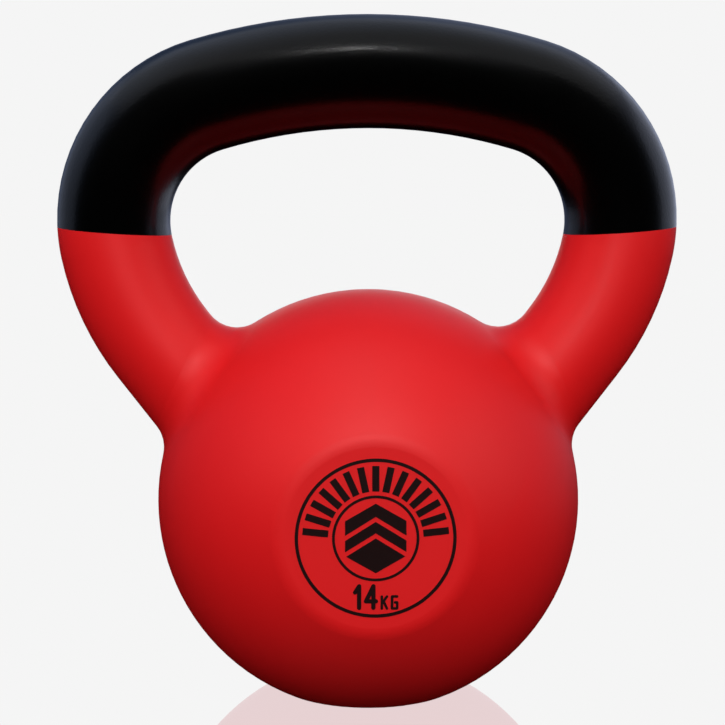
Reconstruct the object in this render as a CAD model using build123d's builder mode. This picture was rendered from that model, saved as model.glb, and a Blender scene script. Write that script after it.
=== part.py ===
"""Fourteen kilogram kettlebell: a one-piece iron casting under two vinyl coats.

Millimetres, +Z up. The origin is the centre of the flat that the bell stands on, the front
faces -Y and the grip runs along X.
"""
from build123d import *
from math import acos, asin, atan2, cos, degrees, hypot, pi, radians, sin, sqrt, tan
import os

os.makedirs("parts", exist_ok=True)

# Ball, measured over the coat
ball_diameter = 149.0
base_flat_diameter = 62.0
face_flat_diameter = 63.5
base_edge_radius = 7.0
face_edge_radius = 9.0

# Handle, measured over the coat: a round bar of one thickness, the same on both sides
grip_diameter = 39.2
handle_width = 216.8
window_height = 56.4
crown_radius = 197.0
shoulder_radius = 45.6
side_radius = 82.0
shoulder_end_lean = 11.3
leg_axis_offset = 23.7
root_fillet_radius = 12.0

# Vinyl coats: the grip coat reaches this far down from the top of the handle
coat_thickness = 2.0
grip_coat_depth = 74.7
coat_joint_slope = 4.0

# Ink on the front flat
ink_thickness = 0.12
emblem_margin = 3.7
emblem_ring_line = 1.1
badge_ring_radius = 13.6
badge_ring_line = 0.9
tick_count = 15
tick_span = 168.0
tick_width = 2.3
tick_clearance = 1.3
badge_radius = 11.4
chevron_line = 1.4
chevron_pitch = 5.4
chevron_slope = 32.0
weight_mark_gap = 0.9
one_size = (2.7, 8.5)
digit_size = (4.6, 8.5)
letter_size = (2.5, 4.8)
digit_line = 1.4
letter_line = 0.85
glyph_gap = 0.8

# Places that follow from the sizes above
ball_radius = ball_diameter / 2
grip_radius = grip_diameter / 2
ball_height = sqrt(ball_radius**2 - (base_flat_diameter / 2) ** 2)
face_distance = sqrt(ball_radius**2 - (face_flat_diameter / 2) ** 2)
crown_height = ball_height + ball_radius + window_height + grip_radius
handle_top = crown_height + grip_radius
widest_axis = handle_width / 2 - grip_radius
face_edge_turn = asin(face_flat_diameter / ball_diameter)
face_clear_radius = face_flat_diameter / 2 - face_edge_radius * tan(face_edge_turn / 2)


def handle_headings():
    """Headings, in radians below +X, where the right half of the handle's centreline changes arc.

    The crown arc ends where the shoulder arc that follows it just reaches the half width. The
    leg is the straight line that leaves the side arc at a tangent and passes the ball's centre
    at leg_axis_offset.
    """
    crown_end = asin((widest_axis - shoulder_radius) / (crown_radius - shoulder_radius))
    shoulder_end = pi / 2 + radians(shoulder_end_lean)
    step_in = crown_radius - shoulder_radius
    step_out = shoulder_radius - side_radius
    side_x = step_in * sin(crown_end) + step_out * sin(shoulder_end)
    crown_centre = crown_height - crown_radius - ball_height
    side_z = crown_centre + step_in * cos(crown_end) + step_out * cos(shoulder_end)
    leg_reach = acos((leg_axis_offset - side_radius) / hypot(side_x, side_z))
    return crown_end, shoulder_end, atan2(side_x, side_z) + leg_reach


def leg_length(start):
    """Length of a leg that starts at this point and ends under the ball's surface."""
    past_centre_line = sqrt(start.X**2 + (start.Z - ball_height) ** 2 - leg_axis_offset**2)
    reach = leg_axis_offset + grip_radius
    return past_centre_line - sqrt(ball_radius**2 - reach**2) / 2


def handle_centreline():
    """The handle's centreline from crown to leg on the right, and its mirror image on the left."""
    crown_end, shoulder_end, side_end = (degrees(heading) for heading in handle_headings())
    with BuildLine(Plane.XZ) as centreline:
        crown = JernArc((0, crown_height), (1, 0), crown_radius, -crown_end)
        shoulder = JernArc(crown @ 1, crown % 1, shoulder_radius, crown_end - shoulder_end)
        side = JernArc(shoulder @ 1, shoulder % 1, side_radius, shoulder_end - side_end)
        Line(side @ 1, side @ 1 + (side % 1) * leg_length(side @ 1))
        mirror(about=Plane.YZ)
    return centreline.wire()


def bell(inset):
    """The bell's whole form, with its surface this far inside the coats' outer surface."""
    centreline = handle_centreline()
    with BuildPart() as handle:
        with BuildSketch(Plane(origin=centreline @ 0, z_dir=centreline % 0)):
            Circle(grip_radius - inset)
        sweep(path=centreline)
    with BuildPart() as form:
        # A seam turned away from the handle and the flats keeps their edges whole
        with Locations(Location((0, 0, ball_height), (0, 0, 45))):
            Sphere(ball_radius - inset)
        split(bisect_by=Plane.XY.offset(inset), keep=Keep.TOP)
        split(bisect_by=Plane.XZ.offset(face_distance - inset), keep=Keep.BOTTOM)
        split(bisect_by=Plane.XZ.offset(inset - face_distance), keep=Keep.TOP)
        flats = form.faces().filter_by(GeomType.PLANE)
        fillet(flats.filter_by(Axis.Y).edges(), face_edge_radius - inset)
        fillet(flats.filter_by(Axis.Z).edges(), base_edge_radius - inset)
        add(handle.part)
        fillet(form.edges(Select.NEW), root_fillet_radius + inset)
    return form.part


# The casting: ball and handle in one piece of iron
with BuildPart() as iron_casting:
    add(bell(coat_thickness))
iron_casting.part.label = "iron_casting"
export_step(iron_casting.part, "parts/iron_casting.step")

# The two coats meet at a plane on each arm. The planes rise outwards, so that together they
# bound a zone with a shallow V for its floor.
joint_height = handle_top - grip_coat_depth
rise = tan(radians(coat_joint_slope))
zone_half_width = handle_width / 2 + coat_thickness
zone_side_height = joint_height + (zone_half_width - widest_axis) * rise
zone_top = handle_top + coat_thickness
with BuildPart() as grip_zone:
    with BuildSketch(Plane.XZ):
        Polygon(
            (0, joint_height - widest_axis * rise),
            (zone_half_width, zone_side_height),
            (zone_half_width, zone_top),
            (-zone_half_width, zone_top),
            (-zone_half_width, zone_side_height),
            align=None,
        )
    extrude(amount=ball_radius, both=True)

coated_form = bell(0)

with BuildPart() as body_coat:
    add(coated_form)
    add(iron_casting.part, mode=Mode.SUBTRACT)
    add(grip_zone.part, mode=Mode.SUBTRACT)
body_coat.part.label = "body_coat"
export_step(body_coat.part, "parts/body_coat.step")

with BuildPart() as grip_coat:
    add(coated_form)
    add(iron_casting.part, mode=Mode.SUBTRACT)
    add(grip_zone.part, mode=Mode.INTERSECT)
grip_coat.part.label = "grip_coat"
export_step(grip_coat.part, "parts/grip_coat.step")

# Ink: the front flat seen from the front, X to the right and Z up, with its centre at (0, 0)
front_flat = Plane((0, -face_distance, ball_height), x_dir=(1, 0, 0), z_dir=(0, -1, 0))


def ring(radius, line):
    """A circle drawn with a line of this width."""
    Circle(radius + line / 2)
    Circle(radius - line / 2, mode=Mode.SUBTRACT)


def stroke(start, end, line):
    """A straight stroke of this width with round ends."""
    run = Vector(end) - Vector(start)
    with Locations(Vector(start) + run / 2):
        SlotCenterToCenter(run.length, line, rotation=degrees(atan2(run.Y, run.X)))


# A round badge: a dial of plain ticks over a hexagon that two chevrons are left out of. It keeps
# a margin from the rim of the flat, where the rounded edge begins.
emblem_ring_radius = face_clear_radius - emblem_margin - emblem_ring_line / 2
tick_outer = emblem_ring_radius - emblem_ring_line / 2 - tick_clearance
tick_inner = badge_ring_radius + badge_ring_line / 2 + tick_clearance
tick_pitch = tick_span / (tick_count - 1)
chevron_drop = badge_radius * tan(radians(chevron_slope))
with BuildPart() as front_emblem:
    with BuildSketch(front_flat):
        ring(emblem_ring_radius, emblem_ring_line)
        ring(badge_ring_radius, badge_ring_line)
        with PolarLocations(
            (tick_outer + tick_inner) / 2, tick_count, 90 - tick_span / 2, tick_pitch * tick_count
        ):
            Rectangle(tick_outer - tick_inner, tick_width)
        RegularPolygon(badge_radius, 6, rotation=30)
        for level in (-1, 1):
            tip = (level * chevron_pitch + chevron_drop) / 2
            with BuildLine():
                Polyline((-badge_radius, tip - chevron_drop), (0, tip), (badge_radius, tip - chevron_drop))
            trace(line_width=chevron_line, mode=Mode.SUBTRACT)
    extrude(amount=ink_thickness)
front_emblem.part.label = "front_emblem"
export_step(front_emblem.part, "parts/front_emblem.step")

# The weight, in plain round-ended characters on one baseline. Each character is one or more
# runs of strokes, in shares of the room that its ink leaves them.
glyph_one = [[(0, 0.72), (1, 1), (1, 0)]]
glyph_four = [[(0.75, 0), (0.75, 1), (0, 0.3), (1, 0.3)]]
glyph_k = [[(0, 0), (0, 1)], [(1, 1), (0, 0.4)], [(0.35, 0.6), (1, 0)]]
glyph_g = [[(1, 1), (0, 1), (0, 0), (1, 0), (1, 0.5), (0.6, 0.5)]]
characters = [
    (glyph_one, one_size, digit_line),
    (glyph_four, digit_size, digit_line),
    (glyph_k, letter_size, letter_line),
    (glyph_g, letter_size, letter_line),
]
mark_width = sum(size[0] for _, size, _ in characters) + glyph_gap * (len(characters) - 1)
baseline = -badge_ring_radius - badge_ring_line / 2 - weight_mark_gap - digit_size[1]
with BuildPart() as weight_mark:
    with BuildSketch(front_flat):
        left = -mark_width / 2
        for runs, (width, height), line in characters:
            inset = line / 2
            for run in runs:
                points = [
                    (left + inset + x * (width - line), baseline + inset + z * (height - line))
                    for x, z in run
                ]
                for start, end in zip(points, points[1:]):
                    stroke(start, end, line)
            left += width + glyph_gap
    extrude(amount=ink_thickness)
weight_mark.part.label = "weight_mark"
export_step(weight_mark.part, "parts/weight_mark.step")
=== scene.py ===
"""Looks of the kettlebell: dipped vinyl over cast iron, printed front, and a plain white studio.

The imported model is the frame. Its nodes keep their shapes, and each gets the finish of the real
thing: the bare casting inside, the red and the black vinyl coats, and the ink of the print.
"""
import logging
import math
from dataclasses import dataclass
from enum import Enum

import bmesh
import bpy
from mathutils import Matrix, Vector


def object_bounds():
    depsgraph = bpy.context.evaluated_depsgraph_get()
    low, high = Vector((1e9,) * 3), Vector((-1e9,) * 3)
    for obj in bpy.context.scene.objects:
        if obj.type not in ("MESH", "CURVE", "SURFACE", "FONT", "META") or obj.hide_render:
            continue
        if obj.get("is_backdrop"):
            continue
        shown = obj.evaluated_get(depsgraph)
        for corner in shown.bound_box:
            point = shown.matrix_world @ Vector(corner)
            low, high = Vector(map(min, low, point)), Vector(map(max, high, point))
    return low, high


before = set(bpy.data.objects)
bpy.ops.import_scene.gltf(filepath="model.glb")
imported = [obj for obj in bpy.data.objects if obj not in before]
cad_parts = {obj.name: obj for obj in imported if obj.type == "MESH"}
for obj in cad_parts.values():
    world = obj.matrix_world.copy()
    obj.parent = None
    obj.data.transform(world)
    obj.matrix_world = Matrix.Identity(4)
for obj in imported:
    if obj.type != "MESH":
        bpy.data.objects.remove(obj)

log = logging.getLogger("kettlebell")
MM = 0.001

# Sockets of a Mix node that mixes colours, which share their names with those for numbers
MIX_FIRST, MIX_SECOND, MIX_RESULT = 6, 7, 2

# The nodes that each set of gloss lights shows in
SATIN_PIECES = ("body_coat", "front_emblem", "weight_mark")
GRIP = ("grip_coat",)


def linear(hex_colour: str, alpha: float = 1.0) -> tuple[float, float, float, float]:
    """Turns an sRGB hex colour into the linear colour that a shader socket takes.

    Args:
        hex_colour: Six hex digits after a hash.
        alpha: Opacity, passed through.

    Returns:
        Linear red, green, blue and alpha.
    """
    channels = [int(hex_colour[i : i + 2], 16) / 255 for i in (1, 3, 5)]
    lin = [c / 12.92 if c <= 0.04045 else ((c + 0.055) / 1.055) ** 2.4 for c in channels]
    return (*lin, alpha)


def add_node(
    tree: bpy.types.NodeTree,
    kind: str,
    settings: dict | None = None,
    links: dict | None = None,
    **attributes: object,
) -> bpy.types.Node:
    """Adds a node with its socket values, its links and its own attributes.

    Args:
        tree: The node tree that it joins.
        kind: The node's type, without the ShaderNode prefix.
        settings: Value of each input, by name or number.
        links: Output socket that feeds each input, by name or number.
        attributes: Attributes of the node itself.

    Returns:
        The new node.
    """
    node = tree.nodes.new("ShaderNode" + kind)
    for name, value in attributes.items():
        setattr(node, name, value)
    for socket, value in (settings or {}).items():
        node.inputs[socket].default_value = value
    for socket, source in (links or {}).items():
        tree.links.new(source, node.inputs[socket])
    return node


def new_material(name: str) -> tuple[bpy.types.Material, bpy.types.NodeTree]:
    """Makes a node material that has no nodes yet.

    Args:
        name: The material's name.

    Returns:
        The material and its node tree.
    """
    material = bpy.data.materials.new(name)
    material.use_nodes = True
    material.node_tree.nodes.clear()
    return material, material.node_tree


@dataclass(frozen=True)
class DippedVinyl:
    """Soft PVC skin that the warm casting picks up from a bath of liquid vinyl.

    It cures to an even colour with a satin or glossy face. To the eye it has slow drifts of tint
    and gloss, a faint orange peel a few millimetres across, and a grain that breaks up a sharp
    highlight. The real grain is too fine to show, so it is drawn several times as coarse.
    """

    name: str
    colour: str
    deep_colour: str
    roughness: float
    specular: float
    peel_height: float
    grain_height: float
    grain_size: float = 0.55 * MM
    peel_size: float = 4.0 * MM
    drift_size: float = 30.0 * MM
    gloss_drift: float = 0.08
    # A thin glossy skin over the body of the vinyl, which a satin coat lacks
    skin_weight: float = 0.0
    skin_roughness: float = 0.1
    # Refractive index of soft PVC
    ior: float = 1.52

    def material(self) -> bpy.types.Material:
        """Builds the vinyl as a node material.

        Returns:
            The material.
        """
        material, tree = new_material(self.name)
        place = add_node(tree, "TexCoord").outputs["Object"]
        drift = add_node(
            tree, "TexNoise", {"Scale": 1 / self.drift_size, "Detail": 2.0}, {"Vector": place}
        )
        tint = add_node(
            tree,
            "Mix",
            {MIX_FIRST: linear(self.colour), MIX_SECOND: linear(self.deep_colour)},
            {"Factor": drift.outputs["Fac"]},
            data_type="RGBA",
        )
        gloss = add_node(
            tree,
            "MapRange",
            {
                "To Min": self.roughness * (1 - self.gloss_drift),
                "To Max": self.roughness * (1 + self.gloss_drift),
            },
            {"Value": drift.outputs["Fac"]},
        )
        peel = add_node(
            tree, "TexNoise", {"Scale": 1 / self.peel_size, "Detail": 1.0}, {"Vector": place}
        )
        waves = add_node(
            tree, "Bump", {"Distance": self.peel_height}, {"Height": peel.outputs["Fac"]}
        )
        grain = add_node(
            tree, "TexNoise", {"Scale": 1 / self.grain_size, "Detail": 2.0}, {"Vector": place}
        )
        grained = add_node(
            tree,
            "Bump",
            {"Distance": self.grain_height},
            {"Height": grain.outputs["Fac"], "Normal": waves.outputs["Normal"]},
        )
        shader = add_node(
            tree,
            "BsdfPrincipled",
            {
                "IOR": self.ior,
                "Specular IOR Level": self.specular,
                "Coat Weight": self.skin_weight,
                "Coat Roughness": self.skin_roughness,
            },
            {
                "Base Color": tint.outputs[MIX_RESULT],
                "Roughness": gloss.outputs["Result"],
                "Normal": grained.outputs["Normal"],
                "Coat Normal": grained.outputs["Normal"],
            },
        )
        add_node(tree, "OutputMaterial", links={"Surface": shader.outputs["BSDF"]})
        return material


@dataclass(frozen=True)
class CastIron:
    """Grey iron as it leaves a sand mould and shot blasting: dark, dull and pebbled."""

    name: str = "sand_cast_iron"
    colour: str = "#3B3B3D"
    pit_colour: str = "#262526"
    metallic: float = 0.85
    roughness: float = 0.72
    grit_size: float = 0.6 * MM
    pebble_height: float = 0.12 * MM

    def material(self) -> bpy.types.Material:
        """Builds the bare casting as a node material.

        Returns:
            The material.
        """
        material, tree = new_material(self.name)
        place = add_node(tree, "TexCoord").outputs["Object"]
        grit = add_node(
            tree, "TexNoise", {"Scale": 1 / self.grit_size, "Detail": 4.0}, {"Vector": place}
        )
        tint = add_node(
            tree,
            "Mix",
            {MIX_FIRST: linear(self.pit_colour), MIX_SECOND: linear(self.colour)},
            {"Factor": grit.outputs["Fac"]},
            data_type="RGBA",
        )
        pebbles = add_node(
            tree, "Bump", {"Distance": self.pebble_height}, {"Height": grit.outputs["Fac"]}
        )
        shader = add_node(
            tree,
            "BsdfPrincipled",
            {"Metallic": self.metallic, "Roughness": self.roughness},
            {"Base Color": tint.outputs[MIX_RESULT], "Normal": pebbles.outputs["Normal"]},
        )
        add_node(tree, "OutputMaterial", links={"Surface": shader.outputs["BSDF"]})
        return material


@dataclass(frozen=True)
class PadInk:
    """Two-part ink from a silicone pad: a thin matt black film, a touch uneven in its cover.

    The real unevenness is too fine to show, so it is drawn coarser than it is.
    """

    name: str = "pad_printed_ink"
    colour: str = "#0C0404"
    thin_colour: str = "#1C0606"
    roughness: float = 0.5
    specular: float = 0.3
    ior: float = 1.5
    speckle_size: float = 0.9 * MM

    def material(self) -> bpy.types.Material:
        """Builds the ink as a node material.

        Returns:
            The material.
        """
        material, tree = new_material(self.name)
        place = add_node(tree, "TexCoord").outputs["Object"]
        cover = add_node(
            tree, "TexNoise", {"Scale": 1 / self.speckle_size, "Detail": 3.0}, {"Vector": place}
        )
        tint = add_node(
            tree,
            "Mix",
            {MIX_FIRST: linear(self.colour), MIX_SECOND: linear(self.thin_colour)},
            {"Factor": cover.outputs["Fac"]},
            data_type="RGBA",
        )
        shader = add_node(
            tree,
            "BsdfPrincipled",
            {"Roughness": self.roughness, "IOR": self.ior, "Specular IOR Level": self.specular},
            {"Base Color": tint.outputs[MIX_RESULT]},
        )
        add_node(tree, "OutputMaterial", links={"Surface": shader.outputs["BSDF"]})
        return material


@dataclass
class Bell:
    """The kettlebell's own pieces and their finishes."""

    red: DippedVinyl = DippedVinyl(
        name="red_dipped_vinyl",
        colour="#DC191B",
        deep_colour="#D81518",
        roughness=0.46,
        specular=0.25,
        peel_height=0.012 * MM,
        grain_height=0.002 * MM,
    )
    black: DippedVinyl = DippedVinyl(
        name="black_dipped_vinyl",
        colour="#010101",
        deep_colour="#020202",
        roughness=0.3,
        specular=0.27,
        peel_height=0.006 * MM,
        grain_height=0.05 * MM,
        grain_size=0.9 * MM,
        skin_weight=0.16,
        skin_roughness=0.05,
    )
    iron: CastIron = CastIron()
    ink: PadInk = PadInk()

    def dress(self, node: str, material: bpy.types.Material) -> None:
        """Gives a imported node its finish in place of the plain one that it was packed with.

        Args:
            node: The node's name.
            material: Its new finish.
        """
        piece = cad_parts[node]
        piece.data.materials.clear()
        piece.data.materials.append(material)
        log.info("%s wears %s", node, material.name)

    def build(self) -> None:
        """Dresses every piece of the bell."""
        self.dress("iron_casting", self.iron.material())
        self.dress("body_coat", self.red.material())
        self.dress("grip_coat", self.black.material())
        ink = self.ink.material()
        self.dress("front_emblem", ink)
        self.dress("weight_mark", ink)


class Reach(Enum):
    """What a soft light does to a surface: fills its body colour, or shows in its gloss."""

    MATT = "matt"
    GLOSS = "gloss"


def heading(azimuth: float, elevation: float) -> Vector:
    """Direction away from the bell.

    Args:
        azimuth: Degrees from the front, positive to the right.
        elevation: Degrees above level.

    Returns:
        A vector of length one.
    """
    around, above = math.radians(azimuth), math.radians(elevation)
    level = math.cos(above)
    return Vector((math.sin(around) * level, -math.cos(around) * level, math.sin(above)))


@dataclass(frozen=True)
class Glow:
    """A soft-edged pale patch of wall or ceiling that every gloss in the room mirrors.

    Its angles are in degrees. It is even as far as full_within from its middle, and has faded out
    at gone_beyond.
    """

    azimuth: float
    elevation: float
    full_within: float
    gone_beyond: float
    colour: str

    def add_to(self, tree: bpy.types.NodeTree, gaze: bpy.types.NodeSocket) -> bpy.types.NodeSocket:
        """Adds the patch to the room's nodes.

        Args:
            tree: The world's node tree.
            gaze: Output that gives the direction looked in.

        Returns:
            Output that gives the patch's light in that direction.
        """
        nearness = add_node(
            tree,
            "VectorMath",
            {1: heading(self.azimuth, self.elevation)},
            {0: gaze},
            operation="DOT_PRODUCT",
        )
        fade = add_node(
            tree,
            "MapRange",
            {
                "From Min": math.cos(math.radians(self.gone_beyond)),
                "From Max": math.cos(math.radians(self.full_within)),
            },
            {"Value": nearness.outputs["Value"]},
            interpolation_type="SMOOTHSTEP",
        )
        patch = add_node(
            tree,
            "VectorMath",
            {0: linear(self.colour)[:3]},
            {"Scale": fade.outputs[0]},
            operation="SCALE",
        )
        return patch.outputs[0]


@dataclass(frozen=True)
class SoftBox:
    """A rectangular soft light that hangs on an arc about the bell and faces it.

    Its angles are in degrees, its sizes in metres and its power in watts. With only_on it lights
    those nodes alone, as a light with cards round it does.
    """

    name: str
    azimuth: float
    elevation: float
    width: float
    height: float
    power: float
    colour: str = "#FFFFFF"
    reach: Reach = Reach.MATT
    only_on: tuple[str, ...] = ()
    distance: float = 1.5

    def build(self, target: Vector) -> None:
        """Hangs the light.

        Args:
            target: The point that the light faces.
        """
        data = bpy.data.lights.new(self.name, "AREA")
        data.shape = "RECTANGLE"
        data.size, data.size_y = self.width, self.height
        data.energy = self.power
        data.color = linear(self.colour)[:3]
        away = heading(self.azimuth, self.elevation)
        light = bpy.data.objects.new(self.name, data)
        light.location = target + away * self.distance
        light.rotation_euler = away.to_track_quat("Z", "Y").to_euler()
        light.visible_diffuse = self.reach is Reach.MATT
        light.visible_glossy = self.reach is Reach.GLOSS
        bpy.context.scene.collection.objects.link(light)
        if self.only_on:
            lit = bpy.data.collections.new(self.name + "_lights_only")
            for node in self.only_on:
                lit.objects.link(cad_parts[node])
            light.light_linking.receiver_collection = lit
        log.info("%s hangs %.1f m away", self.name, self.distance)


def room_glows() -> list[Glow]:
    """The room's pale patches: overhead, high at the back, left low and high, right rear."""
    return [
        Glow(0, 90, full_within=34, gone_beyond=50, colour="#73767C"),
        Glow(180, 60, full_within=15, gone_beyond=40, colour="#27456C"),
        Glow(-115, 20, full_within=25, gone_beyond=50, colour="#455061"),
        Glow(-100, 50, full_within=20, gone_beyond=45, colour="#616C84"),
        Glow(130, 15, full_within=25, gone_beyond=65, colour="#9399AD"),
    ]


def fill_lights() -> list[SoftBox]:
    """The lights that bring out the body colour of every piece, on all sides."""
    return [
        SoftBox("front_fill", 0, 15, width=1.0, height=0.8, power=11.3),
        SoftBox("upper_fill", 0, 45, width=1.0, height=0.8, power=3.3),
        SoftBox("ceiling_fill", 0, 80, width=1.0, height=0.8, power=4.6),
        SoftBox("left_fill", -60, 25, width=1.0, height=1.0, power=8.5),
        SoftBox("right_fill", 60, 25, width=1.0, height=1.0, power=6.7),
        SoftBox("back_fill", 180, 15, width=1.2, height=0.9, power=12.5),
        SoftBox("floor_bounce", 0, -85, width=1.6, height=1.6, power=0.5),
    ]


def satin_sheens() -> list[SoftBox]:
    """The lights that show in the satin red coat and the print."""
    reach = {"reach": Reach.GLOSS, "only_on": SATIN_PIECES}
    return [
        SoftBox("main_sheen", 0, 28, width=0.9, height=0.5, power=4.2, **reach),
        SoftBox("upper_sheen", 0, 40, width=0.9, height=0.5, power=4.0, **reach),
        SoftBox("left_sheen", -45, 30, width=0.8, height=0.6, power=0.8, **reach),
        SoftBox("rear_sheen", 180, 8, width=0.9, height=0.5, power=2.0, **reach),
    ]


def grip_sheens() -> list[SoftBox]:
    """The lights that show in the glossy black coat: cool panels for its rims, and a thin lamp."""
    reach = {"reach": Reach.GLOSS, "only_on": GRIP}
    return [
        SoftBox("grip_top", 0, 90, width=3.6, height=2.4, power=7.9, **reach),
        SoftBox("grip_back", 180, 40, width=2.0, height=1.2, power=0.8, colour="#7FA0E0", **reach),
        SoftBox("grip_left", -112, 15, width=1.8, height=1.4, power=2.6, colour="#D8E2FF", **reach),
        SoftBox("grip_right", 118, 5, width=2.0, height=1.6, power=6.3, colour="#DDE6FF", **reach),
        SoftBox("grip_rear", 180, 8, width=2.6, height=0.9, power=1.9, colour="#A9BEF0", **reach),
        SoftBox(
            "grip_low_right", 125, -18, width=0.9, height=0.5, power=0.7, colour="#E6ECFF", **reach
        ),
        SoftBox("grip_lamp", 0.9, 48, width=0.16, height=0.015, power=0.9, **reach),
    ]


@dataclass
class Studio:
    """A white cyclorama with a faintly glossy floor, soft lights, and the camera."""

    glows: list[Glow]
    lights: list[SoftBox]
    backdrop: str = "#F5F5F5"
    # Share of red, green and blue that the floor mirrors
    floor_mirror: tuple[float, float, float] = (0.135, 0.3, 0.29)
    floor_size: float = 8.0
    # The floor lies this far under the bell, so that the two flats don't share a plane
    floor_gap: float = 0.1 * MM
    # Sine of the elevation that the dim room ends at, and how softly it does
    floor_line: float = 0.02
    floor_fade: float = 0.2
    camera_side: float = -0.0237
    camera_back: float = 0.6535
    camera_height: float = 0.1967
    camera_tilt: float = 7.0
    camera_turn: float = 1.9
    lens: float = 92.46

    def build_floor(self) -> None:
        """Lays the floor: an even pale sheet with a weak mirror image of what stands on it.

        It is clear from below, so the bell's underside can be seen.
        """
        sheet = bmesh.new()
        bmesh.ops.create_grid(sheet, x_segments=1, y_segments=1, size=self.floor_size / 2)
        bmesh.ops.translate(sheet, verts=sheet.verts, vec=(0, 0, -self.floor_gap))
        mesh = bpy.data.meshes.new("floor")
        sheet.to_mesh(mesh)
        sheet.free()
        floor = bpy.data.objects.new("floor", mesh)
        floor.visible_diffuse = False
        floor.visible_glossy = False
        floor.visible_shadow = False
        bpy.context.scene.collection.objects.link(floor)
        material, tree = new_material("pale_floor")
        # Glow and mirror image of the backdrop add up to the backdrop's own colour
        pale = [
            backdrop * (1 - mirror)
            for backdrop, mirror in zip(linear(self.backdrop), self.floor_mirror)
        ]
        glow = add_node(tree, "Emission", {"Color": (*pale, 1)})
        mirror = add_node(
            tree, "BsdfGlossy", {"Color": (*self.floor_mirror, 1), "Roughness": 0.0}
        )
        top = add_node(tree, "AddShader", links={0: glow.outputs[0], 1: mirror.outputs[0]})
        clear = add_node(tree, "BsdfTransparent")
        from_below = add_node(tree, "NewGeometry").outputs["Backfacing"]
        surface = add_node(
            tree, "MixShader", links={0: from_below, 1: top.outputs[0], 2: clear.outputs[0]}
        )
        add_node(tree, "OutputMaterial", links={"Surface": surface.outputs[0]})
        mesh.materials.append(material)
        floor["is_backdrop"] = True

    def build_world(self) -> None:
        """Makes the surroundings: white behind the bell, and a dim room for its gloss to mirror.

        The camera and the floor's mirror see the even white backdrop. Every softer reflection
        sees the room, which is dark apart from its glows and ends at the floor line.
        """
        world = bpy.data.worlds.new("studio_room")
        world.use_nodes = True
        tree = world.node_tree
        tree.nodes.clear()
        gaze = add_node(tree, "TexCoord").outputs["Generated"]
        room, *others = [glow.add_to(tree, gaze) for glow in self.glows]
        for patch in others:
            both = add_node(tree, "VectorMath", links={0: room, 1: patch}, operation="ADD")
            room = both.outputs[0]
        height = add_node(tree, "SeparateXYZ", links={0: gaze}).outputs["Z"]
        above_floor = add_node(
            tree,
            "MapRange",
            {"From Min": self.floor_line - self.floor_fade, "From Max": self.floor_line},
            {"Value": height},
            interpolation_type="SMOOTHSTEP",
        )
        dim = add_node(
            tree, "Background", links={"Color": room, "Strength": above_floor.outputs[0]}
        )
        white = add_node(tree, "Background", {"Color": linear(self.backdrop)})
        path = add_node(tree, "LightPath")
        sharp = add_node(
            tree,
            "Math",
            links={0: path.outputs["Is Camera Ray"], 1: path.outputs["Is Singular Ray"]},
            operation="MAXIMUM",
        )
        seen = add_node(
            tree,
            "MixShader",
            links={0: sharp.outputs[0], 1: dim.outputs[0], 2: white.outputs[0]},
        )
        add_node(tree, "OutputWorld", links={"Surface": seen.outputs[0]})
        bpy.context.scene.world = world

    def build_camera(self) -> None:
        """Sets up the camera: about level with the grip, a little left, and tilted down."""
        data = bpy.data.cameras.new("camera")
        data.lens = self.lens
        camera = bpy.data.objects.new("camera", data)
        camera.location = (self.camera_side, -self.camera_back, self.camera_height)
        camera.rotation_euler = (
            math.radians(90 - self.camera_tilt),
            0,
            -math.radians(self.camera_turn),
        )
        bpy.context.scene.collection.objects.link(camera)
        bpy.context.scene.camera = camera

    def build(self) -> None:
        """Sets up floor, surroundings, lights and camera."""
        self.build_floor()
        self.build_world()
        lowest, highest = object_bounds()
        for light in self.lights:
            light.build((lowest + highest) / 2)
        self.build_camera()
        bpy.context.scene.view_settings.view_transform = "Standard"


def main() -> None:
    """Builds the bell and its studio."""
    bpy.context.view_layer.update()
    Bell().build()
    Studio(glows=room_glows(), lights=fill_lights() + satin_sheens() + grip_sheens()).build()


if __name__ == "__main__":
    logging.basicConfig(level=logging.INFO)
    main()
